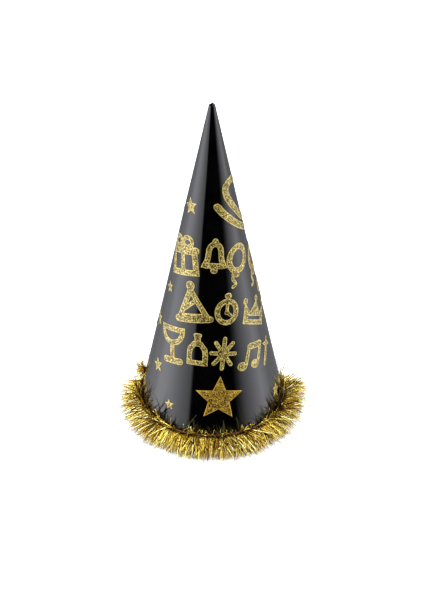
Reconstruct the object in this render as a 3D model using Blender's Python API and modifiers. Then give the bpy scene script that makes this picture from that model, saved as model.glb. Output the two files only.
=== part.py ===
"""New year party hat: a cone rolled from glossy card with glitter shapes on it, and a tinsel garland
glued round its rim. Units are metres, +Z is up and the front of the hat faces -Y.

The card is designed flat, as the sector of a circle that it is cut from. A place on that flat sheet is
(across, down): across from the front line, to the right, and down from the sheet's point. on_card()
rolls such a place on to the cone.
"""

import math

import bmesh
import bpy
from mathutils import Matrix, Vector

MM = 0.001

# Card cone
RIM_RADIUS = 70 * MM
APEX_RISE = 328 * MM  # from the rim up to where the sides would meet
TIP_RADIUS = 2.9 * MM
RIM_Z = 8 * MM  # the rim stands this high on the ends of the tinsel
CARD = 0.5 * MM
GAP = 0.3 * MM
FACET = math.radians(7.5)
LAP_FACETS = 2
RAMP_FACETS = 4
CARD_ROWS = 8

# Tape in the lap, and the holes for an elastic
TAPE = 0.2 * MM
TAPE_MARGIN = 2 * MM
HOLE_RADIUS = 1.75 * MM
HOLE_TURN = math.radians(94)
HOLE_RISE = 17 * MM

# Glitter print
GLITTER = 0.3 * MM
STROKE = 5.5
STAR_WAIST = 0.45
CAP_STEPS = 5

# Garland
CORE_RADIUS = 1.0 * MM
CORE_RISE = 6 * MM
CORE_STEP = math.radians(2.5)
CORE_START = math.radians(-128)
OVERLAP_START = math.radians(216)  # the core's far end climbs here, to lie over its start
TAIL_START = math.radians(249)
TAIL_END = math.radians(262)
TAIL_RISE = 18 * MM
TAIL_LEAN = 2 * MM
TAIL_FRINGE_RADIUS = 4 * MM
FRINGE_INNER = 73 * MM
FRINGE_OUTER = 90 * MM
FRINGE_TOP = 22 * MM
FRINGE_STEPS = 48
PRESSED_FROM = math.radians(98)  # further round than this, the strands lie in against the hat
PRESSED_BY = math.radians(120)
PRESSED_OUTER = 79 * MM
PRESSED_TOP = 17 * MM

# Hot-melt glue
GLUE_DOTS = 8
GLUE_DOT_SIZE = (0.9 * MM, 3.5 * MM, 0.9 * MM)
GLUE_DAB_SIZE = (1.8 * MM, 3.6 * MM, 4.2 * MM)
GLUE_DAB_TURN = math.radians(80)
GLUE_DAB_RISE = 15.5 * MM

# Derived from the above
SLANT = math.hypot(RIM_RADIUS, APEX_RISE)
SIN_HALF = RIM_RADIUS / SLANT
COS_HALF = APEX_RISE / SLANT
TIP_SLANT = TIP_RADIUS / SIN_HALF
LAP_LIFT = CARD + GAP + TAPE + GAP
LAP_HALF = LAP_FACETS * FACET / 2
LAP_START = math.pi - LAP_HALF  # where the card begins to lie over its own first edge
RAMP_START = LAP_START - RAMP_FACETS * FACET
AXIS_Y = (FRINGE_OUTER - PRESSED_OUTER) / 2  # the cone's axis, where the origin is central to the whole hat


# Scene helpers


def clear_scene():
    for item in list(bpy.data.objects):
        bpy.data.objects.remove(item, do_unlink=True)


def new_collection(name, hidden=False):
    collection = bpy.data.collections.new(name)
    bpy.context.scene.collection.children.link(collection)
    collection.hide_render = hidden
    return collection


def new_material(name, colour, roughness, metallic=0.0):
    material = bpy.data.materials.new(name)
    material.use_nodes = True
    shader = material.node_tree.nodes["Principled BSDF"]
    shader.inputs["Base Color"].default_value = (*colour, 1)
    shader.inputs["Roughness"].default_value = roughness
    shader.inputs["Metallic"].default_value = metallic
    return material


def add_object(name, data, material, collection):
    item = bpy.data.objects.new(name, data)
    collection.objects.link(item)
    item.data.materials.append(material)
    return item


def mesh_from(bm, name):
    mesh = bpy.data.meshes.new(name)
    bm.to_mesh(mesh)
    bm.free()
    return mesh


def solidify(item, thickness):
    modifier = item.modifiers.new("thickness", "SOLIDIFY")
    modifier.thickness = thickness
    modifier.offset = -1


def boolean(item, other, operation):
    modifier = item.modifiers.new(operation.lower(), "BOOLEAN")
    modifier.operation = operation
    modifier.object = other
    modifier.solver = "EXACT"


def evaluated_mesh(item):
    bpy.context.view_layer.update()
    graph = bpy.context.evaluated_depsgraph_get()
    return bpy.data.meshes.new_from_object(item.evaluated_get(graph))


# Where things are on the cone


def on_cone(slant, turn, lift=0.0):
    """The point that is slant down from the cone's apex, turn round from the front and lift off the card."""
    radius = slant * SIN_HALF + lift * COS_HALF
    height = RIM_Z + APEX_RISE - slant * COS_HALF + lift * SIN_HALF
    return Vector((radius * math.sin(turn), AXIS_Y - radius * math.cos(turn), height))


def on_card(across, down, lift):
    """Rolls a place on the flat sheet on to the faceted cone."""
    slant = math.hypot(across, down)
    turn = math.atan2(across, down) / SIN_HALF
    facet = math.floor(turn / FACET)
    left = on_cone(slant, facet * FACET, lift)
    right = on_cone(slant, (facet + 1) * FACET, lift)
    return left.lerp(right, turn / FACET - facet)


def card_lift(turn):
    """How far the card has risen off the cone as it climbs over its own first edge."""
    return LAP_LIFT * min(max((turn - RAMP_START) / (LAP_START - RAMP_START), 0), 1)


def ring_lift(turn):
    """How far a ring round the card stands off it, so that it passes over the step of the lap."""
    past_lap = (turn - math.pi) % math.tau - LAP_HALF
    falling = LAP_LIFT * (1 - past_lap / (RAMP_FACETS * FACET))
    if past_lap <= 0:
        return LAP_LIFT
    return max(card_lift((turn + math.pi) % math.tau - math.pi), falling, 0)


# Card, tape and holes


def strip(bm, columns, rows, turn_range, slant_range, lift):
    """A piece of the cone's surface, with its face outwards. lift is a function of the turn."""
    grid = bmesh.ops.create_grid(bm, x_segments=columns, y_segments=rows, size=0.5)
    for vert in grid["verts"]:
        turn = turn_range[0] + (vert.co.x + 0.5) * (turn_range[1] - turn_range[0])
        slant = slant_range[0] + (vert.co.y + 0.5) * (slant_range[1] - slant_range[0])
        vert.co = on_cone(slant, turn, lift(turn))


def hole_cutter(side, collection):
    bm = bmesh.new()
    bmesh.ops.create_cone(
        bm, cap_ends=True, segments=16, radius1=HOLE_RADIUS, radius2=HOLE_RADIUS, depth=12 * MM
    )
    cutter = bpy.data.objects.new("elastic_hole_cutter", mesh_from(bm, "elastic_hole_cutter"))
    collection.objects.link(cutter)
    cutter.location = on_cone(SLANT - HOLE_RISE, side * HOLE_TURN)
    cutter.rotation_euler = (math.pi / 2, 0, side * HOLE_TURN)
    cutter.display_type = "WIRE"
    cutter.hide_render = True
    return cutter


def make_cone_shell(material, parts, cutters):
    bm = bmesh.new()
    start = LAP_HALF + math.pi
    columns = round(math.tau / FACET) + LAP_FACETS
    strip(bm, columns, CARD_ROWS, (-start, start), (SLANT, TIP_SLANT), card_lift)
    shell = add_object("cone_shell", mesh_from(bm, "cone_shell"), material, parts)
    solidify(shell, CARD)
    for side in (-1, 1):
        boolean(shell, hole_cutter(side, cutters), "DIFFERENCE")


def make_seam_tape(material, parts):
    bm = bmesh.new()
    ends = (SLANT - TAPE_MARGIN, 3 * TIP_SLANT)
    middle = (LAP_START + FACET / 2, LAP_START + 3 * FACET / 2)
    strip(bm, LAP_FACETS, 1, middle, ends, lambda turn: GAP + TAPE)
    tape = add_object("seam_tape", mesh_from(bm, "seam_tape"), material, parts)
    solidify(tape, TAPE)


# Flat outlines, in millimetres: x to the right and y up from the middle of the motif.
# A shape is a list of closed loops: its outer edge first, and then its openings.


def ellipse(x, y, wide, high, start=0, end=360, steps=16):
    closed = end - start == 360
    angles = [math.radians(start + (end - start) * i / steps) for i in range(steps + (not closed))]
    return [Vector((x + wide * math.cos(a), y + high * math.sin(a))) for a in angles]


def left_of(a, b):
    along = (b - a).normalized()
    return Vector((-along.y, along.x))


def beside(points, distance, closed):
    """The path that runs beside another, at this distance to its left."""
    result = []
    for i, point in enumerate(points):
        normals = []
        if closed or i > 0:
            normals.append(left_of(points[i - 1], point))
        if closed or i < len(points) - 1:
            normals.append(left_of(point, points[(i + 1) % len(points)]))
        corner = sum(normals, Vector((0, 0)))
        result.append(point + corner * distance / corner.dot(normals[0]))
    return result


def half_circle(centre, first):
    """The points of a round end, clockwise from the direction of first."""
    radius = first - centre
    turns = [math.pi * i / CAP_STEPS for i in range(1, CAP_STEPS)]
    rolled = [(math.cos(t), -math.sin(t)) for t in turns]
    return [
        centre + Vector((radius.x * c - radius.y * s, radius.x * s + radius.y * c)) for c, s in rolled
    ]


def stroke(places, width=STROKE):
    """A line with round ends."""
    points = [Vector(p) for p in places]
    left = beside(points, width / 2, False)
    right = beside(points, -width / 2, False)
    far_end = half_circle(points[-1], left[-1])
    near_end = half_circle(points[0], right[0])
    return [left + far_end + right[::-1] + near_end]


def frame(places, width=STROKE):
    """A closed line, so a shape with an opening. Its places run anticlockwise."""
    points = [Vector(p) for p in places]
    return [beside(points, -width / 2, True), beside(points, width / 2, True)]


def disc(x, y, wide, high=None):
    return [ellipse(x, y, wide, high or wide, steps=12)]


def star_outline(points, radius, waist, x=0, y=0):
    corners = []
    for i in range(2 * points):
        reach = radius * (waist if i % 2 else 1)
        angle = math.pi / 2 + math.pi * i / points
        corners.append(Vector((x + reach * math.cos(angle), y + reach * math.sin(angle))))
    return [corners]


def smooth(places, steps=4):
    """A curve through these places."""
    points = [Vector(p) for p in places]
    points = [2 * points[0] - points[1], *points, 2 * points[-1] - points[-2]]
    path = []
    for a, b, c, d in zip(points, points[1:], points[2:], points[3:]):
        for i in range(steps):
            t = i / steps
            path.append(
                0.5 * (2 * b + (c - a) * t + (2 * a - 5 * b + 4 * c - d) * t**2)
                + 0.5 * (3 * b - a - 3 * c + d) * t**3
            )
    return path + [points[-2]]


# Motifs, each a list of shapes that overlap and are joined into one


def gift_box():
    return [
        frame([(-14, -17), (14, -17), (14, 3), (-14, 3)]),
        stroke([(-16, 4), (16, 4)], 6.5),
        stroke([(0, 4), (0, -17)], 5),
        frame(ellipse(-7, 11.5, 5.5, 4.5, steps=12), 4),
        frame(ellipse(7, 11.5, 5.5, 4.5, steps=12), 4),
        disc(0, 9, 3),
    ]


def bell():
    body = [(-8.5, -9), (8.5, -9), (6, -3), *ellipse(0, 4, 5.5, 7.5, 0, 180, 8), (-6, -3)]
    return [
        frame(body, 4.8),
        stroke([(-8.5, -9.5), (8.5, -9.5)], 5),
        disc(0, -13.5, 3.2),
        disc(0, 14, 2.8),
    ]


def balloon():
    string = smooth([(0, -8), (-2.5, -12), (2, -16.5), (-0.5, -20)])
    return [
        frame(ellipse(0, 7, 9.5, 11.5, steps=18)),
        stroke([(-2.2, -8.2), (2.2, -8.2)], 4.4),
        stroke(string, 2.8),
    ]


def small_hat():
    return [
        frame([(-13, -13), (13, -13), (0, 13)], 5),
        stroke([(-16, -16), (16, -16)], 6.5),
        stroke([(-8, -6), (5, 3)], 4),
        disc(0, 16.5, 4.5),
    ]


def pocket_clock():
    return [
        frame(ellipse(0, -3.5, 9, 10.5, steps=20), 4.8),
        stroke([(0, -4), (0, 6)], 2.8),
        stroke([(0, -4), (4, -7)], 2.8),
        disc(0, -4, 2.2),
        disc(0, 12, 3.4, 3),
    ]


def crown():
    band = [Vector(p) for p in [(-10, -7.5), (-10, -4), (10, -4), (10, -7.5)]]
    edge = [(-15, -12), (15, -12), (17.5, 8), (8.5, -0.5), (0, 11), (-8.5, -0.5), (-17.5, 8)]
    return [
        [[Vector(p) for p in edge], band],
        disc(-17, 9, 3),
        disc(0, 12.5, 3),
        disc(17, 9, 3),
    ]


def coupe_glass():
    return [
        frame(ellipse(0, 15, 13, 13.5, 180, 360, 12), 5),
        stroke([(0, 0), (0, -15)], 5),
        stroke([(-9, -16), (9, -16)], 6),
    ]


def bottle():
    return [
        frame([(-7.5, -13), (7.5, -13), (7.5, 0), (3, 6), (-3, 6), (-7.5, 0)], 4.8),
        stroke([(0, 7), (0, 13.5)], 5.8),
        stroke([(-2, 14.5), (2, 14.5)], 4),
    ]


def burst():
    rays = [(0, 15), (8, 10.5), (11, 0), (8, -10.5)]
    return [stroke([(-x, -y), (x, y)], 3.8) for x, y in rays] + [disc(0, 0, 5.5, 6)]


def music_notes():
    return [
        disc(-7.5, -10, 5.2, 4.4),
        disc(7, -7, 5.2, 4.4),
        stroke([(-4, -9), (-4, 10)], 3.8),
        stroke([(10.5, -6), (10.5, 13)], 3.8),
        stroke([(-3.5, 9.5), (10, 12.5)], 6),
    ]


def sparkler():
    return [stroke([(0, -12), (0, 4)], 3.8), star_outline(4, 7.5, 0.4, 0, 7)]


def bow():
    return [
        frame(ellipse(-8, 3, 6, 5.5, steps=12), 4.5),
        frame(ellipse(8, 3, 6, 5.5, steps=12), 4.5),
        disc(0, 2, 4.2),
        stroke([(-1, 1), (-8, -12)], 4.5),
        stroke([(1, 1), (8, -12)], 4.5),
    ]


def star(radius):
    return [star_outline(5, radius, STAR_WAIST)]


# name, shapes, across and down on the flat sheet in millimetres, and clockwise tilt in degrees
MOTIFS = [
    ("motif_gift_box", gift_box(), -30, 153, -6),
    ("motif_bell", bell(), 2.5, 151, 3),
    ("motif_balloon_front", balloon(), 24, 163, 12),
    ("motif_balloon_side", balloon(), 52, 168, 18),
    ("motif_small_hat", small_hat(), -19, 197.5, -5),
    ("motif_pocket_clock", pocket_clock(), 14, 202, 5),
    ("motif_crown", crown(), 47.5, 213, 17),
    ("motif_coupe_glass", coupe_glass(), -40.5, 242.5, -3),
    ("motif_bottle", bottle(), -13.5, 243, 2),
    ("motif_burst", burst(), 10.5, 246.5, 6),
    ("motif_music_notes", music_notes(), 39, 254.5, 14),
    ("motif_sparkler", sparkler(), 62, 256, 16),
    ("star_front_large", star(23.2), 6.5, 292, 3),
    ("star_left_upper", star(8.2), -22, 107, -8),
    ("star_left_middle", star(5.8), -49, 189.5, -12),
    ("star_left_edge", star(7.2), -67, 226, -16),
    ("star_left_lower", star(7.2), -61, 269.5, -10),
    ("star_left_rim", star(5.4), -43, 304, -6),
    ("star_right_rim", star(7.0), 77, 300.5, 14),
]

# The side that is out of sight: the same, with the turn from the front in degrees in place of across
BACK_MOTIFS = [
    ("motif_bow", bow(), 102, 205, 0),
    ("motif_small_hat_back", small_hat(), -118, 235, 0),
    ("star_back_large", star(21), -148, 286, 0),
    ("star_back_middle", star(7), 126, 176, 0),
    ("star_back_right", star(7), 112, 262, 10),
    ("star_back_left", star(9), -128, 172, -8),
    ("star_back_upper", star(7), -112, 122, 6),
    ("star_back_lower", star(8), 128, 290, -5),
    ("star_back_rim", star(6.5), -104, 300, 8),
]

# Two curls of streamer, as lines on the flat sheet in millimetres, which run on round the right side
STREAMER_WIDTH = 6.5
UPPER_CURL = [(25.5, 81.5), (18, 83), (12.7, 88), (13.6, 96), (19.5, 104.5), (28, 113), (36, 119), (45, 120)]
LOWER_CURL = [(4.5, 105), (10.5, 112), (20, 120), (30, 126), (42, 130), (53, 128), (60, 119.5)]
STREAMERS = [("streamer_upper", UPPER_CURL), ("streamer_lower", LOWER_CURL)]


def flat_plate(loops):
    """A mesh object of one flat shape, as thick as the glitter."""
    curve = bpy.data.curves.new("outline", "CURVE")
    curve.dimensions = "2D"
    curve.fill_mode = "BOTH"
    curve.extrude = GLITTER / 2
    for loop in loops:
        spline = curve.splines.new("POLY")
        spline.points.add(len(loop) - 1)
        spline.use_cyclic_u = True
        for point, place in zip(spline.points, loop):
            point.co = (place.x * MM, place.y * MM, 0, 1)
    outline = bpy.data.objects.new("outline", curve)
    bpy.context.scene.collection.objects.link(outline)
    mesh = evaluated_mesh(outline)
    bpy.data.objects.remove(outline)
    bm = bmesh.new()
    bm.from_mesh(mesh)
    bmesh.ops.remove_doubles(bm, verts=bm.verts, dist=0.001 * MM)
    bmesh.ops.recalc_face_normals(bm, faces=bm.faces)
    plate = bpy.data.objects.new("plate", mesh_from(bm, "plate"))
    bpy.context.scene.collection.objects.link(plate)
    return plate


def joined_plate(shapes):
    """The bmesh of all the shapes of a motif, joined into one flat plate."""
    plates = [flat_plate(loops) for loops in shapes]
    for other in plates[1:]:
        boolean(plates[0], other, "UNION")
    bm = bmesh.new()
    bm.from_mesh(evaluated_mesh(plates[0]))
    for plate in plates:
        bpy.data.objects.remove(plate)
    bmesh.ops.remove_doubles(bm, verts=bm.verts, dist=0.02 * MM)
    bmesh.ops.dissolve_limit(
        bm, angle_limit=math.radians(0.5), verts=bm.verts, edges=bm.edges, delimit=set()
    )
    return bm


def cut_along_facets(bm):
    """Cuts a flat plate along the lines from the sheet's point where the cone's facets meet."""
    turns = [math.atan2(v.co.x, -v.co.y) / SIN_HALF for v in bm.verts]
    first = math.floor(min(turns) / FACET)
    last = math.ceil(max(turns) / FACET)
    for i in range(first, last + 1):
        line = i * FACET * SIN_HALF
        bmesh.ops.bisect_plane(
            bm,
            geom=bm.verts[:] + bm.edges[:] + bm.faces[:],
            dist=0.002 * MM,
            plane_co=(0, 0, 0),
            plane_no=(math.cos(line), math.sin(line), 0),
        )


def make_motif(name, shapes, across, down, tilt, material, parts):
    """Prints a motif on the flat sheet, with its middle at this place, and rolls it on to the cone."""
    bm = joined_plate(shapes)
    tilted = Matrix.Rotation(math.radians(-tilt), 3, "Z")
    bmesh.ops.rotate(bm, verts=bm.verts, cent=(0, 0, 0), matrix=tilted)
    bmesh.ops.translate(bm, verts=bm.verts, vec=(across * MM, -down * MM, 0))
    cut_along_facets(bm)
    for vert in bm.verts:
        lift = GAP + (GLITTER if vert.co.z > 0 else 0)
        vert.co = on_card(vert.co.x, -vert.co.y, lift)
    add_object(name, mesh_from(bm, name), material, parts)


def make_glitter(material, parts):
    for name, shapes, across, down, tilt in MOTIFS:
        make_motif(name, shapes, across, down, tilt, material, parts)
    for name, shapes, turn, slant, tilt in BACK_MOTIFS:
        spread = math.radians(turn) * SIN_HALF
        across, down = slant * math.sin(spread), slant * math.cos(spread)
        make_motif(name, shapes, across, down, tilt - math.degrees(spread), material, parts)
    for name, places in STREAMERS:
        path = smooth([(across, -down) for across, down in places])
        make_motif(name, [stroke(path, STREAMER_WIDTH)], 0, 0, 0, material, parts)


# Garland and glue


def add_tube(name, points, radius, material, parts):
    curve = bpy.data.curves.new(name, "CURVE")
    curve.dimensions = "3D"
    curve.bevel_depth = radius
    curve.bevel_resolution = 2
    curve.use_fill_caps = True
    spline = curve.splines.new("POLY")
    spline.points.add(len(points) - 1)
    for point, place in zip(spline.points, points):
        point.co = (*place, 1)
    return add_object(name, curve, material, parts)


def smooth_step(start, end, value):
    share = min(max((value - start) / (end - start), 0), 1)
    return share * share * (3 - 2 * share)


def core_point(turn, lift=0.0):
    """The middle of the garland's core, whose far end lies over its start and then stands up."""
    over = smooth_step(OVERLAP_START, CORE_START + math.tau, turn)
    up = smooth_step(TAIL_START, TAIL_END, turn)
    slant = SLANT - CORE_RISE - 2 * (CORE_RADIUS + GAP) * over - TAIL_RISE * up
    return on_cone(slant, turn, ring_lift(turn) + GAP + CORE_RADIUS + TAIL_LEAN * up + lift)


def make_garland_core(material, parts):
    count = round((TAIL_END - CORE_START) / CORE_STEP)
    points = [core_point(CORE_START + i * CORE_STEP) for i in range(count + 1)]
    add_tube("garland_core", points, CORE_RADIUS, material, parts)


def press_in(mesh):
    """Draws a ring round the cone's axis in, behind the hat, to where the strands are pressed flat."""
    for vert in mesh.vertices:
        turn = math.atan2(vert.co.x, -vert.co.y)
        pressed = smooth_step(PRESSED_FROM, PRESSED_BY, abs(turn))
        depth = math.hypot(vert.co.x, vert.co.y) - FRINGE_INNER
        kept = (PRESSED_OUTER - FRINGE_INNER) / (FRINGE_OUTER - FRINGE_INNER)
        radius = FRINGE_INNER + depth * (1 - pressed + pressed * kept)
        height = vert.co.z * (1 - pressed + pressed * PRESSED_TOP / FRINGE_TOP)
        vert.co = (radius * math.sin(turn), AXIS_Y - radius * math.cos(turn), height)


def make_garland_fringe(material, parts):
    """The space that the foil strands fill: a ring that the hat stands on."""
    profile = [
        (FRINGE_INNER, FRINGE_TOP - 2 * MM),
        (FRINGE_INNER + 3 * MM, FRINGE_TOP),
        (FRINGE_OUTER - 8 * MM, FRINGE_TOP - 3 * MM),
        (FRINGE_OUTER - 2 * MM, FRINGE_TOP - 9 * MM),
        (FRINGE_OUTER, FRINGE_TOP - 15 * MM),
        (FRINGE_OUTER - 1 * MM, 3 * MM),
        (FRINGE_OUTER - 4 * MM, 0),
        (FRINGE_INNER, 0),
    ]
    bm = bmesh.new()
    verts = [bm.verts.new((radius, 0, height)) for radius, height in profile]
    for a, b in zip(verts, verts[1:] + verts[:1]):
        bm.edges.new((a, b))
    fringe = add_object("garland_fringe", mesh_from(bm, "garland_fringe"), material, parts)
    screw = fringe.modifiers.new("turn", "SCREW")
    screw.steps = FRINGE_STEPS
    screw.render_steps = FRINGE_STEPS
    screw.use_merge_vertices = True
    screw.merge_threshold = 0.0001
    ring = evaluated_mesh(fringe)
    press_in(ring)
    fringe.modifiers.clear()
    fringe.data = ring


def make_garland_tail(material, parts):
    """The space that the strands of the garland's free end fill, outside its core."""
    beside_core = CORE_RADIUS + GAP + TAIL_FRINGE_RADIUS
    first = TAIL_START + 0.6 * (TAIL_END - TAIL_START)
    turns = [first + i * (TAIL_END - first) / 4 for i in range(5)]
    points = [core_point(turn, beside_core) for turn in turns]
    add_tube("garland_tail_fringe", points, TAIL_FRINGE_RADIUS, material, parts)


def add_blob(name, place, turn, size, material, parts):
    """A drop of glue: size is out from the card, round it and up it."""
    bm = bmesh.new()
    bmesh.ops.create_uvsphere(bm, u_segments=12, v_segments=8, radius=1)
    bmesh.ops.scale(bm, verts=bm.verts, vec=(size[1], size[0], size[2]))
    blob = add_object(name, mesh_from(bm, name), material, parts)
    blob.location = place
    blob.rotation_euler = (0, 0, turn)


def make_glue(material, parts):
    thick, _, high = GLUE_DOT_SIZE
    slant = SLANT - CORE_RISE + CORE_RADIUS + GAP + high
    for i in range(GLUE_DOTS):
        turn = math.tau * (i + 0.5) / GLUE_DOTS
        place = on_cone(slant, turn, ring_lift(turn) + 1.5 * GAP + thick)
        add_blob(f"glue_dot_{i + 1:02d}", place, turn, GLUE_DOT_SIZE, material, parts)
    place = on_cone(SLANT - GLUE_DAB_RISE, GLUE_DAB_TURN, 4 * GAP + GLUE_DAB_SIZE[0])
    add_blob("glue_dab_right", place, GLUE_DAB_TURN, GLUE_DAB_SIZE, material, parts)


def main():
    clear_scene()
    parts = new_collection("new_year_party_hat")
    cutters = new_collection("cutters", hidden=True)
    card = new_material("black_gloss_card", (0.008, 0.008, 0.01), 0.15)
    tape = new_material("clear_tape", (0.75, 0.72, 0.62), 0.3)
    glitter = new_material("gold_glitter", (0.62, 0.45, 0.12), 0.35, 0.9)
    core = new_material("brown_thread", (0.12, 0.06, 0.015), 0.6)
    foil = new_material("gold_foil", (0.86, 0.58, 0.12), 0.2, 1.0)
    glue = new_material("amber_hot_melt", (0.28, 0.17, 0.05), 0.3)
    make_cone_shell(card, parts, cutters)
    make_seam_tape(tape, parts)
    make_glitter(glitter, parts)
    make_garland_core(core, parts)
    make_garland_fringe(foil, parts)
    make_garland_tail(foil, parts)
    make_glue(glue, parts)


main()
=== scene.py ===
"""Looks for the new year party hat: fine card cone, glitter relief, tinsel garland, glue, floor and light."""

import math

import bmesh
import bpy
import numpy as np
from mathutils import Matrix, Vector, noise
from mathutils.geometry import delaunay_2d_cdt


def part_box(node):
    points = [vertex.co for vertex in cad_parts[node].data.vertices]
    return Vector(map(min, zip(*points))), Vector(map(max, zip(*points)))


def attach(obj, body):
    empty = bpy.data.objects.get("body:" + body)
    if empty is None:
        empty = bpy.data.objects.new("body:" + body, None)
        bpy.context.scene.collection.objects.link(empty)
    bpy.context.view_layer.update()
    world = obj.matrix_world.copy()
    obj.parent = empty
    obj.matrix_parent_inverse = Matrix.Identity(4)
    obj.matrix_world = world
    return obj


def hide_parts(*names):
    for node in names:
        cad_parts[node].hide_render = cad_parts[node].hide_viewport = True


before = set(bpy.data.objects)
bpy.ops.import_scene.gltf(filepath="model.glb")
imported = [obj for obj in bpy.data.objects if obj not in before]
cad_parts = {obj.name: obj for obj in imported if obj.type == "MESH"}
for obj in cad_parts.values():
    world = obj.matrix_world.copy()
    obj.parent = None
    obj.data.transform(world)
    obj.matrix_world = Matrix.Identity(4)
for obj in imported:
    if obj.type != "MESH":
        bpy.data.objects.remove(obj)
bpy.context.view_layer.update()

MM = 0.001
BODY = "root"

# Sizes of the looks; the places come from the CAD model

CARD = 0.5 * MM
CARD_FACET = math.radians(7.5)
LAP_FACETS = 2
RAMP_FACETS = 4
CARD_COLUMNS = 300
CARD_ROWS = 60
SWELL = 0.22 * MM
TIP_PAINTED_SHADE = 14 * MM  # painted shade: the gloss black covers the card's inside and cut edge this far down from the tip
HOLE_RADIUS = 1.75 * MM
HOLE_RISE = 17 * MM
HOLE_TURN = math.radians(94)

FLAKE = 0.55 * MM
FLAKE_TILT = 0.09 * MM
GLITTER_BASE = 0.05 * MM
GLITTER_LIFT = 0.42 * MM
GLITTER_EDGE = 0.12 * MM  # how far the relief falls at its edge

CORE_RADIUS = 1.0 * MM
CORE_GAP = 0.3 * MM
CORE_STEPS = 1100
CORE_START = math.radians(-128)
OVERLAP_START = math.radians(216)
OVERLAP_RISE = 2 * (CORE_RADIUS + CORE_GAP)
TAIL_START = math.radians(249)
TAIL_END = math.radians(262)
TAIL_ROOT = 0.12  # radians before the tail's start where its strands begin
TAIL_LEAN = 2 * MM
TAIL_STRANDS = 160
THREAD_RADIUS = 0.5 * MM
THREAD_PITCH = 5.5 * MM

STRAND_SECTORS = 8
STRANDS_PER_DEGREE = 14  # at the most
STRAND_POINTS = 7
STRAND_WIDE = 0.9 * MM
STRAND_THICK = 0.06 * MM
STRAND_OVERRUN = 4.5 * MM  # how far the longest strands pass the space that CAD gives them

CAMERA_DISTANCE = 1.4
CAMERA_ELEVATION = math.radians(34.2)
CAMERA_AIM = 0.112  # above the rim
LENS = 90


# The cone, read from the CAD model


RIM_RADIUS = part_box("cone_shell")[1].x
AXIS_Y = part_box("cone_shell")[0].y + RIM_RADIUS


def cone_from_frame():
    """Apex height, rim height and tip height of the card's outer face, from its front line."""
    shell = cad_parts["cone_shell"].data
    front = [v.co for v in shell.vertices if abs(v.co.x) < 0.05 * MM and v.co.y < AXIS_Y]
    rim = min(front, key=lambda co: co.y)
    tip = max(front, key=lambda co: co.z)
    slope = (tip.y - rim.y) / (tip.z - rim.z)
    return rim.z + (AXIS_Y - rim.y) / slope, rim.z, tip.z


APEX_Z, RIM_Z, TIP_Z = cone_from_frame()
SLANT = math.hypot(RIM_RADIUS, APEX_Z - RIM_Z)
SIN_HALF = RIM_RADIUS / SLANT
COS_HALF = (APEX_Z - RIM_Z) / SLANT
TIP_SLANT = (APEX_Z - TIP_Z) / COS_HALF
LAP_LIFT = (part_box("cone_shell")[1].y - AXIS_Y - RIM_RADIUS) / COS_HALF
LAP_HALF = LAP_FACETS * CARD_FACET / 2
LAP_START = math.pi - LAP_HALF
RAMP = RAMP_FACETS * CARD_FACET

CORE_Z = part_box("garland_core")[0].z + CORE_RADIUS
CORE_SLANT = (APEX_Z - CORE_Z) / COS_HALF
END_RISE = (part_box("garland_core")[1].z - CORE_RADIUS - CORE_Z - TAIL_LEAN * SIN_HALF) / COS_HALF
STRAND_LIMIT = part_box("garland_fringe")[1].x + STRAND_OVERRUN


def smooth_step(start, end, value):
    share = min(max((value - start) / (end - start), 0), 1)
    return share * share * (3 - 2 * share)


def swell(slant, turn):
    """How far rolled card strays from a true cone: a soft, slow waviness."""
    across = math.sin(2 * turn + 0.7) + 0.55 * math.sin(3 * turn - 1.1 + 14 * slant)
    along = 0.5 * math.sin(5 * turn + 31 * slant + 0.4) + 0.35 * math.sin(47 * slant - turn)
    return SWELL * min(slant / (0.25 * SLANT), 1) * 0.45 * (across + along)


def on_cone(slant, turn, lift=0.0):
    """The point that is slant down from the apex, turn round from the front and lift off the card."""
    out = lift + swell(slant, turn)
    radius = slant * SIN_HALF + out * COS_HALF
    height = APEX_Z - slant * COS_HALF + out * SIN_HALF
    return Vector((radius * math.sin(turn), AXIS_Y - radius * math.cos(turn), height))


def turn_of(co):
    """How far round from the front a point is."""
    return math.atan2(co.x, AXIS_Y - co.y)


def card_lift(turn):
    """How far the card has risen off the cone as it climbs over its own first edge."""
    return LAP_LIFT * smooth_step(LAP_START - RAMP, LAP_START, turn)


def ring_lift(turn):
    """How far a ring round the card stands off it, so that it passes over the step of the lap."""
    past_lap = (turn - math.pi) % math.tau - LAP_HALF
    if past_lap <= 0:
        return LAP_LIFT
    falling = LAP_LIFT * (1 - past_lap / RAMP)
    return max(card_lift((turn + math.pi) % math.tau - math.pi), falling, 0)


# Making pieces


def add_piece(name, mesh, materials, replaces=(), smooth=True):
    piece = bpy.data.objects.new(name, mesh)
    bpy.context.scene.collection.objects.link(piece)
    for material in materials:
        mesh.materials.append(material)
    if smooth:
        mesh.shade_smooth()
    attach(piece, BODY)
    if replaces:
        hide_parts(*replaces)
    return piece


def mesh_from_arrays(name, points, faces):
    mesh = bpy.data.meshes.new(name)
    mesh.from_pydata([tuple(p) for p in points], [], [tuple(f) for f in faces])
    mesh.update()
    return mesh


def tone_attribute(mesh, values):
    """Gives each face corner a grey value, which the material's colours read as tone."""
    layer = mesh.color_attributes.new("tone", "FLOAT_COLOR", "CORNER")
    grey = np.repeat(np.asarray(values, np.float32)[:, None], 4, axis=1)
    grey[:, 3] = 1
    layer.data.foreach_set("color", grey.ravel())


# Materials


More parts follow.
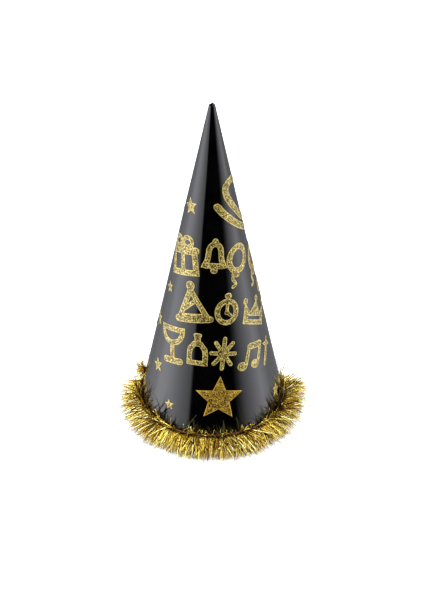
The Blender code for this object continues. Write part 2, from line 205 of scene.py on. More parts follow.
class Nodes:
    """Short calls for building a node tree."""

    def __init__(self, tree):
        self.tree = tree

    def add(self, kind, links=None, **values):
        node = self.tree.nodes.new(kind)
        for key, value in values.items():
            setattr(node, key, value)
        for name, source in (links or {}).items():
            if isinstance(source, bpy.types.NodeSocket):
                self.tree.links.new(source, node.inputs[name])
            else:
                node.inputs[name].default_value = source
        return node

    def noise(self, scale, detail=3.0, vector=None):
        links = {"Scale": scale, "Detail": detail}
        if vector:
            links["Vector"] = vector
        return self.add("ShaderNodeTexNoise", links).outputs[0]

    def ramp(self, source, stops):
        node = self.add("ShaderNodeValToRGB", {"Fac": source})
        elements = node.color_ramp.elements
        while len(elements) < len(stops):
            elements.new(0.5)
        for element, (place, colour) in zip(elements, stops):
            element.position = place
            element.color = (*colour, 1)
        return node.outputs[0]

    def span(self, source, low, high):
        return self.add("ShaderNodeMapRange", {"Value": source, "To Min": low, "To Max": high}).outputs[0]

    def bump(self, height, strength, distance):
        return self.add(
            "ShaderNodeBump", {"Height": height, "Strength": strength, "Distance": distance}
        ).outputs[0]


def new_material(name, **shader_values):
    material = bpy.data.materials.new(name)
    material.use_nodes = True
    nodes = Nodes(material.node_tree)
    shader = material.node_tree.nodes["Principled BSDF"]
    for key, value in shader_values.items():
        shader.inputs[key.replace("_", " ")].default_value = value
    where = nodes.add("ShaderNodeTexCoord").outputs["Object"]

    def link(socket, source):
        material.node_tree.links.new(source, shader.inputs[socket])

    return material, nodes, where, link


def card_gloss():
    material, nodes, where, link = new_material("card_gloss_black", IOR=1.5)
    clouds = nodes.noise(60, 4, where)
    link("Base Color", nodes.ramp(clouds, [(0.3, (0.0002, 0.0002, 0.0003)), (0.7, (0.0008, 0.0008, 0.001))]))
    link("Roughness", nodes.span(nodes.noise(35, 5, where), 0.05, 0.13))
    grain = nodes.noise(900, 2, where)
    link("Normal", nodes.bump(grain, 0.12, 0.02 * MM))
    return material


def card_inside():
    material, nodes, where, link = new_material("card_raw_inside", Roughness=0.9)
    fibres = nodes.noise(700, 6, where)
    link("Base Color", nodes.ramp(fibres, [(0.3, (0.46, 0.43, 0.38)), (0.7, (0.66, 0.63, 0.58))]))
    link("Normal", nodes.bump(fibres, 0.3, 0.05 * MM))
    return material


# two copies of one gold glitter: this paler, greyer one carries a painted sheen that stands for the card's
# gloss reflection over the print
GLITTER_PAINTED_SHEEN = [
    (0.0, (0.01, 0.005, 0.0005)),
    (0.3, (0.062, 0.037, 0.001)),
    (0.6, (0.165, 0.105, 0.003)),
    (0.85, (0.34, 0.24, 0.018)),
    (1.0, (0.66, 0.57, 0.20)),
]
# the deeper, more orange copy is painted shade, standing for the dark reflection over the large shapes at the
# front
GLITTER_PAINTED_SHADE = [
    (0.0, (0.008, 0.003, 0.0002)),
    (0.3, (0.056, 0.026, 0.0004)),
    (0.6, (0.17, 0.085, 0.001)),
    (0.85, (0.36, 0.20, 0.005)),
    (1.0, (0.62, 0.42, 0.05)),
]


def glitter_gold(name, stops, coat):
    material, nodes, where, link = new_material(name, Coat_Weight=coat, Coat_Roughness=0.15)
    tone = nodes.add("ShaderNodeVertexColor", layer_name="tone").outputs[0]
    link("Base Color", nodes.ramp(tone, stops))
    link("Metallic", nodes.span(nodes.noise(1500, 1, where), 0.3, 0.7))
    link("Roughness", nodes.span(nodes.noise(1100, 1, where), 0.3, 0.55))
    return material


def foil_gold():
    material, nodes, where, link = new_material("foil_gold", Metallic=1.0)
    tone = nodes.add("ShaderNodeVertexColor", layer_name="tone").outputs[0]
    # tone runs from near black, a painted dark reflection, and deep red-brown, painted shade between the
    # strands, through the foil's own gold to pale yellow, a painted highlight; the ring, strays and tail all
    # read this ramp
    stops = [
        (0.0, (0.012, 0.003, 0.0003)),
        (0.2, (0.19, 0.075, 0.002)),
        (0.5, (0.64, 0.42, 0.03)),
        (0.8, (0.90, 0.78, 0.16)),
        (1.0, (0.99, 0.95, 0.55)),
    ]
    link("Base Color", nodes.ramp(tone, stops))
    link("Roughness", nodes.span(nodes.noise(400, 2, where), 0.14, 0.3))
    link("Normal", nodes.bump(nodes.noise(1600, 2, where), 0.25, 0.05 * MM))
    return material


def thread_brown():
    material, nodes, where, link = new_material("thread_brown", Roughness=0.7)
    fluff = nodes.noise(1500, 4, where)
    link("Base Color", nodes.ramp(fluff, [(0.3, (0.03, 0.008, 0.004)), (0.7, (0.15, 0.05, 0.025))]))
    link("Normal", nodes.bump(fluff, 0.5, 0.1 * MM))
    return material


def hot_melt():
    material, nodes, where, link = new_material("hot_melt_amber", IOR=1.45)
    murk = nodes.noise(240, 3, where)
    link("Base Color", nodes.ramp(murk, [(0.3, (0.05, 0.028, 0.008)), (0.7, (0.13, 0.085, 0.03))]))
    link("Roughness", nodes.span(nodes.noise(500, 2, where), 0.35, 0.6))
    return material


def clear_tape():
    material, nodes, where, link = new_material("tape_clear", Roughness=0.3)
    streaks = nodes.noise(120, 4, where)
    link("Base Color", nodes.ramp(streaks, [(0.3, (0.5, 0.46, 0.36)), (0.7, (0.72, 0.69, 0.58))]))
    return material


def floor_white():
    material, nodes, where, link = new_material("floor_white", Roughness=0.8)
    paper = nodes.noise(9, 3, where)
    link("Base Color", nodes.ramp(paper, [(0.3, (0.86, 0.86, 0.86)), (0.7, (0.88, 0.88, 0.88))]))
    return material


# Card cone


def card_faces(columns, rows):
    faces = []
    for i in range(columns):
        for j in range(rows):
            a = i * (rows + 1) + j
            faces.append((a, a + rows + 1, a + rows + 2, a + 1))
    return faces


def make_card():
    """One sheet, its last edge lapped over its first: black outside, raw card inside and at its cuts, except
    near the tip, where gloss black inside and on the cut edge is painted shade for the dark hollow of the
    tip.
    """
    start = math.pi + LAP_HALF
    outer = []
    inner = []
    for i in range(CARD_COLUMNS + 1):
        turn = -start + 2 * start * i / CARD_COLUMNS
        for j in range(CARD_ROWS + 1):
            slant = SLANT + (TIP_SLANT - SLANT) * j / CARD_ROWS
            outer.append(on_cone(slant, turn, card_lift(turn)))
            inner.append(on_cone(slant, turn, card_lift(turn) - CARD))
    count = len(outer)
    sheet = card_faces(CARD_COLUMNS, CARD_ROWS)
    faces = sheet + [tuple(count + k for k in reversed(face)) for face in sheet]
    rows = CARD_ROWS + 1
    border = [j for j in range(rows)] + [i * rows + CARD_ROWS for i in range(1, CARD_COLUMNS + 1)]
    border += [CARD_COLUMNS * rows + j for j in reversed(range(CARD_ROWS))]
    border += [i * rows for i in reversed(range(1, CARD_COLUMNS))]
    for a, b in zip(border, border[1:] + border[:1]):
        faces.append((a, b, b + count, a + count))
    mesh = mesh_from_arrays("card_cone", outer + inner, faces)
    raw = np.ones(len(faces), np.int32)
    raw[: len(sheet)] = 0
    heights = np.array([point.z for point in outer + inner])
    # faces near the tip take the gloss black: painted shade for the tip's dark hollow
    raw[[heights[list(face)].min() > TIP_Z - TIP_PAINTED_SHADE for face in faces]] = 0
    card = add_piece("card_cone", mesh, [card_gloss(), card_inside()], ["cone_shell"])
    mesh.polygons.foreach_set("material_index", raw)
    mesh.set_sharp_from_angle(angle=math.radians(40))
    punch_holes(card)


def punch_holes(card):
    """The two holes for an elastic, where the CAD model has them."""
    for side in (-1, 1):
        bpy.ops.mesh.primitive_cylinder_add(vertices=24, radius=HOLE_RADIUS, depth=12 * MM)
        cutter = bpy.context.object
        cutter.location = on_cone(SLANT - HOLE_RISE, side * HOLE_TURN)
        cutter.rotation_euler = (math.pi / 2, 0, side * HOLE_TURN)
        cut = card.modifiers.new("hole", "BOOLEAN")
        cut.object = cutter
        cut.solver = "EXACT"
        bpy.context.view_layer.update()
        graph = bpy.context.evaluated_depsgraph_get()
        holed = bpy.data.meshes.new_from_object(card.evaluated_get(graph))
        card.modifiers.clear()
        card.data = holed
        bpy.data.objects.remove(cutter)


# Glitter


def sheet_outline(node):
    """The outline of a glitter shape on the flat sheet, as loops of (across, down), from its CAD solid."""
    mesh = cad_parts[node].data
    mesh.calc_loop_triangles()
    places = {}
    keys = []
    for vert in mesh.vertices:
        key = tuple(round(c / (0.004 * MM)) for c in vert.co)
        places.setdefault(key, vert.co)
        keys.append(key)
    edges = {}
    for triangle in mesh.loop_triangles:
        middle = triangle.center
        outward = Vector((middle.x, middle.y - AXIS_Y, 0)).normalized() * COS_HALF + Vector((0, 0, SIN_HALF))
        if triangle.normal.dot(outward) < 0.7:
            continue
        corners = [keys[v] for v in triangle.vertices]
        for a, b in zip(corners, corners[1:] + corners[:1]):
            if (b, a) in edges:
                del edges[(b, a)]
            else:
                edges[(a, b)] = True
    follows = {a: b for a, b in edges}
    loops = []
    while follows:
        key, after = follows.popitem()
        loop = [key]
        while after in follows:
            loop.append(after)
            after = follows.pop(after)
        loops.append([unroll(places[k]) for k in loop])
    return [loop for loop in loops if len(loop) > 2]


def unroll(co):
    """Where a point on the cone lies on the flat sheet."""
    slant = (APEX_Z - co.z) / COS_HALF
    spread = turn_of(co) * SIN_HALF
    return Vector((slant * math.sin(spread), slant * math.cos(spread)))


def rounded(loop):
    """A loop with its shallow corners cut, so that arcs run smoothly and points stay sharp."""
    result = []
    for i, point in enumerate(loop):
        before, after = loop[i - 1], loop[(i + 1) % len(loop)]
        into, out = point - before, after - point
        if min(into.length, out.length) < 1e-7:
            continue
        bend = abs(into.angle(out))
        if math.radians(4) < bend < math.radians(50):
            result += [point - into * 0.25, point + out * 0.25]
        else:
            result.append(point)
    return result


def resampled(loop, step):
    """A loop with a point at least every step."""
    result = []
    for a, b in zip(loop, loop[1:] + loop[:1]):
        parts = max(1, round((b - a).length / step))
        result += [a.lerp(b, i / parts) for i in range(parts)]
    return result


def inside(points, loops):
    """Which of the points are inside the loops, and not in an opening."""
    points = np.asarray(points)
    odd = np.zeros(len(points), bool)
    for loop in loops:
        ring = np.array([tuple(p) for p in loop])
        for (x0, y0), (x1, y1) in zip(ring, np.roll(ring, -1, axis=0)):
            if y0 == y1:
                continue
            crosses = (points[:, 1] < y0) != (points[:, 1] < y1)
            odd ^= crosses & (points[:, 0] < x0 + (points[:, 1] - y0) * (x1 - x0) / (y1 - y0))
    return odd


def far_from_edge(points, loops, gap):
    """Which of the points keep this gap to every loop."""
    border = np.array([tuple(p) for loop in loops for p in loop])
    far = np.ones(len(points), bool)
    for start in range(0, len(points), 2000):
        block = points[start : start + 2000]
        nearest = ((block[:, None, :] - border[None, :, :]) ** 2).sum(axis=2).min(axis=1)
        far[start : start + 2000] = nearest > gap * gap
    return far


def flake_places(loops, rng):
    """Jittered places all over the shape, a flake apart."""
    border = np.array([tuple(p) for loop in loops for p in loop])
    low, high = border.min(axis=0), border.max(axis=0)
    columns, rows = np.ceil((high - low) / FLAKE).astype(int) + 1
    grid = np.stack(np.meshgrid(np.arange(columns), np.arange(rows)), axis=-1).reshape(-1, 2).astype(float)
    grid[:, 0] += 0.5 * (grid[:, 1] % 2)
    places = low + (grid + rng.uniform(-0.3, 0.3, grid.shape)) * FLAKE
    places = places[inside(places, loops)]
    return places[far_from_edge(places, loops, 0.55 * FLAKE)]


def make_glitter(node, material, seed):
    """Relief of small tilted flakes over the shape of one CAD glitter node, with a paler edge."""
    rng = np.random.default_rng(seed)
    loops = [resampled(rounded(loop), FLAKE) for loop in sheet_outline(node)]
    border = [p for loop in loops for p in loop]
    places = border + [Vector(p) for p in flake_places(loops, rng)]
    edges = []
    first = 0
    for loop in loops:
        count = len(loop)
        edges += [(first + i, first + (i + 1) % count) for i in range(count)]
        first += count
    verts, _, faces, *_ = delaunay_2d_cdt(places, edges, [], 0, 1e-7)
    flat = np.array([tuple(v) for v in verts])
    middles = np.array([flat[list(face)].mean(axis=0) for face in faces])
    faces = [face for face, wanted in zip(faces, inside(middles, loops)) if wanted]
    relief_piece(node, flat, faces, material, rng)


def border_edges(faces):
    """The directed edges that only one face has."""
    sides = {edge: True for face in faces for edge in zip(face, face[1:] + face[:1])}
    return [(a, b) for a, b in sides if (b, a) not in sides]


def signed_area(flat, faces):
    a, b, c = (flat[[face[k] for face in faces]] for k in range(3))
    ab, ac = b - a, c - a
    return (ab[:, 0] * ac[:, 1] - ac[:, 0] * ab[:, 1]).sum()


def relief_piece(node, flat, faces, material, rng):
    """The closed solid of a triangulated flat shape: flakes on top, walls and a back."""
    used = sorted({v for face in faces for v in face})
    index = {v: i for i, v in enumerate(used)}
    flat = flat[used]
    faces = [tuple(index[v] for v in face) for face in faces]
    rim = border_edges(faces)
    on_rim = {a for a, _ in rim}
    top = []
    back = []
    for i, (across, down) in enumerate(flat):
        slant = math.hypot(across, down)
        turn = math.atan2(across, down) / SIN_HALF
        tilt = rng.uniform(-FLAKE_TILT, FLAKE_TILT)
        lift = GLITTER_LIFT - GLITTER_EDGE if i in on_rim else GLITTER_LIFT + tilt
        top.append(on_cone(slant, turn, lift))
        back.append(on_cone(slant, turn, GLITTER_BASE))
    count = len(top)
    if signed_area(flat, faces) > 0:  # down runs towards the rim, so the sheet is seen mirrored
        faces = [face[::-1] for face in faces]
        rim = [(b, a) for a, b in rim]
    walls = [(a, a + count, b + count, b) for a, b in rim]
    backs = [tuple(count + k for k in reversed(face)) for face in faces]
    mesh = mesh_from_arrays("glitter_" + node, top + back, faces + walls + backs)
    shades = rng.uniform(-0.35, 1.35, count)
    tones = []
    for face in faces:
        edge = any(k in on_rim for k in face)
        tone = rng.normal(0.9, 0.06) if edge else shades[list(face)].mean() + rng.normal(0, 0.3)
        tones += [tone] * 3
    tones += [0.7] * (4 * len(walls)) + [0.5] * (3 * len(backs))
    tone_attribute(mesh, np.clip(tones, 0, 1))
    add_piece("glitter_" + node, mesh, [material], [node], smooth=False)


# Garland


def garland_middle(turn):
    """The middle of the garland's core on the ring round the rim."""
    return on_cone(CORE_SLANT, turn, ring_lift(turn) + CORE_GAP + CORE_RADIUS)


def core_point(turn):
    """The middle of the core, whose far end lies over its start and then stands up."""
    over = smooth_step(OVERLAP_START, CORE_START + math.tau, turn)
    up = smooth_step(TAIL_START, TAIL_END, turn)
    slant = CORE_SLANT - OVERLAP_RISE * over - (END_RISE - OVERLAP_RISE) * up
    return on_cone(slant, turn, ring_lift(turn) + CORE_GAP + CORE_RADIUS + TAIL_LEAN * up)


def make_core(material):
    """Two threads twisted round each other, along the ring and up its free end."""
    turns = np.linspace(CORE_START, TAIL_END, CORE_STEPS)
    middle = np.array([tuple(core_point(t)) for t in turns])
    along = np.gradient(middle, axis=0)
    along /= np.linalg.norm(along, axis=1)[:, None]
    out = np.stack([np.sin(turns), -np.cos(turns), 0 * turns], axis=1)
    out -= along * (out * along).sum(axis=1)[:, None]
    out /= np.linalg.norm(out, axis=1)[:, None]
    up = np.cross(along, out)
    travelled = np.concatenate([[0], np.linalg.norm(np.diff(middle, axis=0), axis=1).cumsum()])
    phase = math.tau * travelled / THREAD_PITCH
    for k in range(2):
        angle = phase + math.pi * k
        path = middle + THREAD_RADIUS * (np.cos(angle)[:, None] * out + np.sin(angle)[:, None] * up)
        curve = bpy.data.curves.new(f"core_thread_{k + 1}", "CURVE")
        curve.dimensions = "3D"
        curve.bevel_depth = THREAD_RADIUS
        curve.bevel_resolution = 2
        curve.use_fill_caps = True
        spline = curve.splines.new("POLY")
        spline.points.add(CORE_STEPS - 1)
        spline.points.foreach_set("co", np.pad(path, ((0, 0), (0, 1)), constant_values=1).ravel())
        piece = bpy.data.objects.new(f"core_thread_{k + 1}", curve)
        bpy.context.scene.collection.objects.link(piece)
        curve.materials.append(material)
        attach(piece, BODY)
        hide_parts("garland_core")


def strand_frame(turn):
    """The directions out from the hat, round its rim and up, at each turn."""
    out = np.stack([np.sin(turn), -np.cos(turn), 0 * turn], axis=1)
    round_rim = np.stack([np.cos(turn), np.sin(turn), 0 * turn], axis=1)
    up = np.tile([0.0, 0.0, 1.0], (len(turn), 1))
    return out, round_rim, up


def aimed(turn, rise, lean):
    """The directions that rise from level and lean round the rim by these angles."""
    out, round_rim, up = strand_frame(turn)
    first = np.cos(rise)[:, None] * out + np.sin(rise)[:, None] * up
    return np.cos(lean)[:, None] * first + np.sin(lean)[:, None] * round_rim


def spins(rng, count):
    """Where each ribbon's flat side starts and how far it twists, in radians."""
    return np.stack([rng.uniform(0, math.tau, count), rng.normal(0, 0.8, count)], axis=1)


def ring_roots(turn, first):
    middle = np.array([tuple(garland_middle(t)) for t in turn])
    return middle + first * 0.5 * CORE_RADIUS


def strand_mesh(name, roots, first, bend, length, wide, spin, tone):
    """Closed ribbons: each starts at its root in one direction and bends as it goes."""
    count = len(roots)
    share = np.linspace(0, 1, STRAND_POINTS)
    heading = first[:, None, :] + share[None, :, None] * bend[:, None, :]
    heading /= np.linalg.norm(heading, axis=2, keepdims=True)
    steps = heading[:, :-1] * (length[:, None, None] / (STRAND_POINTS - 1))
    middle = np.concatenate([roots[:, None, :], roots[:, None, :] + steps.cumsum(axis=1)], axis=1)
    middle = keep_clear(middle)
    heading = np.gradient(middle, axis=1)
    heading /= np.maximum(np.linalg.norm(heading, axis=2, keepdims=True), 1e-9)
    aside = np.cross(heading, np.array([0.31, 0.22, 0.93]))
    aside /= np.maximum(np.linalg.norm(aside, axis=2, keepdims=True), 1e-9)
    through = np.cross(heading, aside)
    angle = spin[:, :1] + share[None, :] * spin[:, 1:]
    flat = np.cos(angle)[..., None] * aside + np.sin(angle)[..., None] * through
    thin = np.cross(heading, flat)
    taper = np.interp(share, [0, 0.6, 1], [1, 0.9, 0.35])[None, :, None]
    half_wide = flat * taper * wide[:, None, None] / 2
    half_thin = thin * STRAND_THICK / 2
    corners = np.stack(
        [
            middle - half_wide - half_thin,
            middle + half_wide - half_thin,
            middle + half_wide + half_thin,
            middle - half_wide + half_thin,
        ],
        axis=2,
    )
    corners[..., 2] = np.maximum(corners[..., 2], 0.05 * MM)
    faces = ribbon_faces(count)
    mesh = bpy.data.meshes.new(name)
    mesh.vertices.add(corners.size // 3)
    mesh.vertices.foreach_set("co", corners.ravel())
    mesh.loops.add(faces.size)
    mesh.loops.foreach_set("vertex_index", faces.ravel())
    mesh.polygons.add(len(faces))
    mesh.polygons.foreach_set("loop_start", np.arange(0, faces.size, 4))
    mesh.update(calc_edges=True)
    tone_attribute(mesh, np.repeat(tone, faces.size // count))
    return mesh


def ribbon_faces(count):
    one = []
    for k in range(STRAND_POINTS - 1):
        for c in range(4):
            a, b = 4 * k + c, 4 * k + (c + 1) % 4
            one.append((a, b, b + 4, a + 4))
    last = 4 * (STRAND_POINTS - 1)
    one.append((3, 2, 1, 0))
    one.append((last, last + 1, last + 2, last + 3))
    one = np.array(one)
    return (one[None] + 4 * STRAND_POINTS * np.arange(count)[:, None, None]).reshape(-1, 4)


def keep_clear(middle):
    """Holds the strands above the table and off the card."""
    height = np.maximum(middle[..., 2], 0.5 * MM)
    aside, ahead = middle[..., 0], AXIS_Y - middle[..., 1]
    radius = np.hypot(aside, ahead)
    turn = np.arctan2(aside, ahead)
    lap = np.where(np.abs(np.abs(turn) - math.pi) < RAMP + LAP_HALF, LAP_LIFT, 0)
    card = (APEX_Z - np.maximum(height, RIM_Z)) * RIM_RADIUS / (APEX_Z - RIM_Z) + SWELL
    held = np.clip(radius, card + lap + 0.5 * MM, STRAND_LIMIT)
    scale = held / np.maximum(radius, 1e-6)
    return np.stack([aside * scale, AXIS_Y - ahead * scale, height], axis=-1)


def clumps(turn, seed):
    """A slow random value along the ring, so that neighbouring strands lean together."""
    return np.array([noise.noise(Vector((14 * math.sin(t), 14 * math.cos(t), seed))) for t in turn])


# The ring's strands by turn from the front: mean rise and its spread, strands a degree, and lengths
RING = [
    (-180, -80, 8, 6, 10.5, 14.5),
    (-118, -78, 8, 6, 10.5, 14.5),
    (-99, -26, 18, 9, 14, 22),
    (-85, -20, 19, 10, 14, 24),
    (-45, -30, 19, 12, 16, 26),
    (0, -38, 19, 14, 18, 28.5),
    (45, -32, 19, 12, 16, 26),
    (75, -10, 22, 10, 15, 24.5),
    (97, 10, 22, 9, 16, 25),
    (106, -30, 16, 8, 12, 18),
    (120, -78, 8, 6, 10.5, 14.5),
    (180, -80, 8, 6, 10.5, 14.5),
]


def ring_value(turn, column):
    return np.interp(np.degrees(turn), [row[0] for row in RING], [row[column] for row in RING])


def make_tinsel(material):
    """The strands of the ring, in sectors."""
    rng = np.random.default_rng(31)
    for sector in range(STRAND_SECTORS):
        start = -math.pi + math.tau * sector / STRAND_SECTORS
        wanted = rng.uniform(0, 1, round(STRANDS_PER_DEGREE * 360 / STRAND_SECTORS))
        turn = start + math.tau / STRAND_SECTORS * wanted
        turn = turn[rng.uniform(0, STRANDS_PER_DEGREE, len(turn)) < ring_value(turn, 3)]
        count = len(turn)
        rise = np.radians(ring_value(turn, 1) + ring_value(turn, 2) * rng.standard_normal(count))
        rise = np.clip(rise + np.radians(14) * clumps(turn, 3.5), np.radians(-98), np.radians(45))
        lean = np.radians(14 * rng.standard_normal(count) + 28 * clumps(turn, 8.5))
        first = aimed(turn, rise, lean)
        bend = 0.15 * rng.standard_normal((count, 3)) + np.array([0, 0, -0.12])
        reach = rng.triangular(-0.05, 0.5, 1.0, count)
        reach = np.where(rng.uniform(0, 1, count) < 0.09, rng.uniform(0.9, 1.3, count), reach)
        length = (ring_value(turn, 4) * (1 - reach) + ring_value(turn, 5) * reach) * MM
        wide = STRAND_WIDE * rng.uniform(0.55, 1.1, count)
        spin = spins(rng, count)
        tone = rng.normal(0.64, 0.27, count)
        # about a quarter of the strands are painted near black, a painted reflection of dark surroundings
        tone = np.where(rng.uniform(0, 1, count) < 0.26, rng.uniform(0, 0.2, count), tone)
        name = f"tinsel_strands_{sector + 1:02d}"
        roots = ring_roots(turn, first)
        mesh = strand_mesh(name, roots, first, bend, length, wide, spin, np.clip(tone, 0, 1))
        add_piece(name, mesh, [material], ["garland_fringe"], smooth=False)


# Strands outside the ring: from turn, to turn, count, rise from, rise to, length from, length to, tone; a
# tone of 0 paints a strand black as a painted dark reflection, and the short strands under the core are
# painted dark for the shade there
STRAYS = [
    (-180, 180, 900, -104, -50, 5, 12, 0.25),
    (-180, 180, 420, 5, 88, 2.5, 5.5, 0.4),
    (-100, 70, 110, 30, 85, 4, 8, 0.7),
    (-88, -40, 16, 60, 84, 17, 27, 0.0),
    (-84, -22, 14, 50, 80, 12, 22, 0.8),
    (-34, 50, 18, 45, 76, 7, 13, 0.95),
    (42, 72, 8, 45, 80, 12, 20, 0.0),
    (40, 72, 7, 45, 80, 9, 16, 0.9),
    (90, 104, 8, 50, 80, 7, 14, 0.8),
    (-99, -80, 5, 30, 52, 16, 22, 0.0),
    (80, 99, 12, 20, 48, 16, 22, 0.8),
    (96, 250, 26, 60, 84, 9, 18, 0.5),
]


def make_strays(material):
    """Strands that lie up over the card, and short ones under the core, painted dark for the shade there."""
    rng = np.random.default_rng(77)
    turn, rise, length, tone = [], [], [], []
    for low, high, count, rise_low, rise_high, short, long, shade in STRAYS:
        turn.append(np.radians(rng.uniform(low, high, count)))
        rise.append(np.radians(rng.uniform(rise_low, rise_high, count)))
        length.append(rng.uniform(short, long, count) * MM)
        tone.append(np.clip(rng.normal(shade, 0.14, count), 0, 1))
    turn, rise, length, tone = (np.concatenate(v) for v in (turn, rise, length, tone))
    count = len(turn)
    out, _, _ = strand_frame(turn)
    first = aimed(turn, rise, np.radians(24 * rng.standard_normal(count)))
    bend = 0.3 * rng.standard_normal((count, 3)) - 0.25 * out
    wide = STRAND_WIDE * rng.uniform(0.8, 1.1, count) * np.interp(length, [8 * MM, 16 * MM], [1, 1.4])
    roots = ring_roots(turn, first)
    mesh = strand_mesh("tinsel_strays", roots, first, bend, length, wide, spins(rng, count), tone)
    add_piece("tinsel_strays", mesh, [material], [], smooth=False)


def make_tail(material):
    """Short strands round the garland's free end."""
    rng = np.random.default_rng(5)
    count = TAIL_STRANDS
    turn = TAIL_START - TAIL_ROOT + (TAIL_END - TAIL_START + TAIL_ROOT) * rng.uniform(0, 1, count)
    here = np.array([tuple(core_point(t)) for t in turn])
    along = np.array([tuple(core_point(t + 0.01)) for t in turn]) - here
    along = np.where(turn[:, None] > TAIL_END - 0.02, [[0.0, 0.1, 1.0]], along)
    along /= np.linalg.norm(along, axis=1, keepdims=True)
    out, _, _ = strand_frame(turn)
    aside = np.cross(along, out)
    side = rng.uniform(-1.4, 1.4, count)
    first = np.cos(side)[:, None] * out + np.sin(side)[:, None] * aside
    first += rng.normal(0.35, 0.3, count)[:, None] * along
    first /= np.linalg.norm(first, axis=1, keepdims=True)
    bend = 0.3 * rng.standard_normal((count, 3))
    roots = here + first * 0.4 * CORE_RADIUS
    length = rng.triangular(4, 7, 13, count) * MM
    wide = STRAND_WIDE * rng.uniform(0.6, 1, count)
    spin = spins(rng, count)
    tone = np.clip(rng.normal(0.4, 0.32, count), 0, 1)
    mesh = strand_mesh("tinsel_tail", roots, first, bend, length, wide, spin, tone)
    add_piece("tinsel_tail", mesh, [material], ["garland_tail_fringe"], smooth=False)


# Glue


def make_glue(node, material, seed):
    """An uneven drop of hot-melt glue in the CAD drop's place."""
    low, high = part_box(node)
    middle = (low + high) / 2
    turn = turn_of(middle)
    cad = [Matrix.Rotation(-turn, 3, "Z") @ (v.co - middle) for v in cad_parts[node].data.vertices]
    half = Vector([max(abs(co[k]) for co in cad) for k in range(3)])
    bm = bmesh.new()
    bmesh.ops.create_icosphere(bm, subdivisions=4, radius=1)
    back = Matrix.Rotation(turn, 3, "Z")
    for vert in bm.verts:
        ripple = 0.9 + 0.16 * noise.noise(vert.co * 1.7 + Vector((seed, 0, 0)))
        place = Vector((vert.co.x * half.x, vert.co.y * half.y, vert.co.z * half.z)) * ripple
        vert.co = middle + back @ place
    mesh = bpy.data.meshes.new("melt_" + node)
    bm.to_mesh(mesh)
    bm.free()
    add_piece("melt_" + node, mesh, [material], [node])


# Stage


def make_floor():
    bpy.ops.mesh.primitive_plane_add(size=12)
    floor = bpy.context.object
    floor.name = "floor"
    floor.data.materials.append(floor_white())
    floor.visible_glossy = False


# Light from below eye level, by turn in degrees from the front towards the right
COOL = (0.97, 0.98, 1.04)
PANELS = [
    (-180, 0.2), (-164, 0.22), (-137, 0.6), (-112, 1.65), (-98, 3.1), (-85, 3.6), (-74, 3.4),
    (-60, 2.6), (-46, 1.85), (-38, 1.45), (-34, 0.0), (38, 0.0), (46, 0.35), (54, 1.1), (62, 1.65),
    (76, 2.4), (90, 2.9), (103, 1.9), (114, 1.05), (137, 0.55), (164, 0.22), (180, 0.2),
]
# Light from above, the same way
CEILING = [
    (-180, 0.4), (-162, 0.4), (-152, 3.4), (-104, 3.4), (-94, 0.5), (-52, 0.4), (-42, 3.0), (-10, 3.0),
    (0, 0.4), (40, 0.4), (50, 3.6), (92, 3.6), (102, 0.4), (138, 0.4), (148, 3.0), (172, 3.0), (180, 0.4),
]


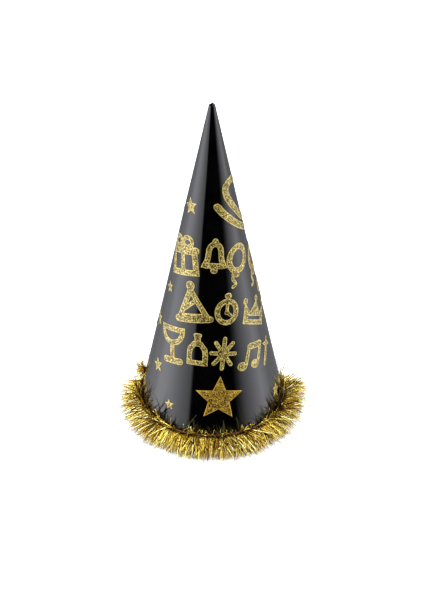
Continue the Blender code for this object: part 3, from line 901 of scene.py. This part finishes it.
def make_world():
    """Soft studio light by direction: a wide panel on each side, a bright ceiling and a dark front."""
    world = bpy.data.worlds.new("studio")
    bpy.context.scene.world = world
    world.use_nodes = True
    tree = world.node_tree
    tree.nodes.clear()
    nodes = Nodes(tree)
    way = nodes.add("ShaderNodeTexCoord").outputs["Generated"]
    split = nodes.add("ShaderNodeSeparateXYZ", {"Vector": way})
    ahead = nodes.add("ShaderNodeMath", {0: split.outputs["Y"], 1: -1.0}, operation="MULTIPLY")
    turn = nodes.add("ShaderNodeMath", {0: split.outputs["X"], 1: ahead.outputs[0]}, operation="ARCTAN2")
    share = nodes.add(
        "ShaderNodeMapRange", {"Value": turn.outputs[0], "From Min": -math.pi, "From Max": math.pi}
    ).outputs[0]

    def panels(stops, strength):
        stops = [((180 + turn) / 360, [level / 4 * c for c in COOL]) for turn, level in stops]
        ramp = nodes.ramp(share, stops)
        return nodes.add("ShaderNodeVectorMath", {0: ramp, 3: strength}, operation="SCALE").outputs[0]

    rise = nodes.add("ShaderNodeMapRange", {"Value": split.outputs["Z"], "From Min": 0.15, "From Max": 0.6})
    strength = nodes.add("ShaderNodeMath", {0: rise.outputs[0], 1: 4.0}, operation="MULTIPLY")
    both = nodes.add(
        "ShaderNodeVectorMath",
        {0: panels(PANELS, 4.0), 1: panels(CEILING, strength.outputs[0])},
        operation="ADD",
    )
    seen = nodes.add("ShaderNodeLightPath").outputs["Is Camera Ray"]
    studio = nodes.add("ShaderNodeBackground", {"Color": both.outputs[0], "Strength": 1.0}).outputs[0]
    white = nodes.add("ShaderNodeBackground", {"Color": (1, 1, 1, 1), "Strength": 1.0}).outputs[0]
    mixed = nodes.add("ShaderNodeMixShader", {0: seen, 1: studio, 2: white}).outputs[0]
    output = nodes.add("ShaderNodeOutputWorld")
    tree.links.new(mixed, output.inputs["Surface"])


def make_camera():
    data = bpy.data.cameras.new("camera")
    data.lens = LENS
    data.sensor_width = 36
    camera = bpy.data.objects.new("camera", data)
    bpy.context.scene.collection.objects.link(camera)
    back = Vector((0, -math.cos(CAMERA_ELEVATION), math.sin(CAMERA_ELEVATION)))
    camera.location = Vector((0, AXIS_Y, RIM_Z + CAMERA_AIM)) + back * CAMERA_DISTANCE
    camera.rotation_mode = "QUATERNION"
    camera.rotation_quaternion = (-back).to_track_quat("-Z", "Y")
    data.clip_start = 0.05
    data.clip_end = 50
    bpy.context.scene.camera = camera


def glitter_nodes():
    kinds = ("motif_", "star_", "streamer_")
    return sorted(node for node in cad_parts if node.startswith(kinds))


def main():
    make_camera()
    make_world()
    make_floor()
    bpy.context.scene.view_settings.view_transform = "Standard"
    make_card()
    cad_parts["seam_tape"].data.materials.clear()
    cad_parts["seam_tape"].data.materials.append(clear_tape())
    glitter_with_sheen = glitter_gold("glitter_gold", GLITTER_PAINTED_SHEEN, 0.35)
    glitter_with_shade = glitter_gold("glitter_gold_painted_shade", GLITTER_PAINTED_SHADE, 0.2)
    for seed, node in enumerate(glitter_nodes()):
        # the large shapes take the copy with painted shade, the others the copy with painted sheen
        make_glitter(node, glitter_with_shade if node.endswith("_large") else glitter_with_sheen, seed)
    make_core(thread_brown())
    foil = foil_gold()
    make_tinsel(foil)
    make_strays(foil)
    make_tail(foil)
    glue = hot_melt()
    for seed, node in enumerate(sorted(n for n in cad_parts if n.startswith("glue_"))):
        make_glue(node, glue, 3.7 * seed)


main()
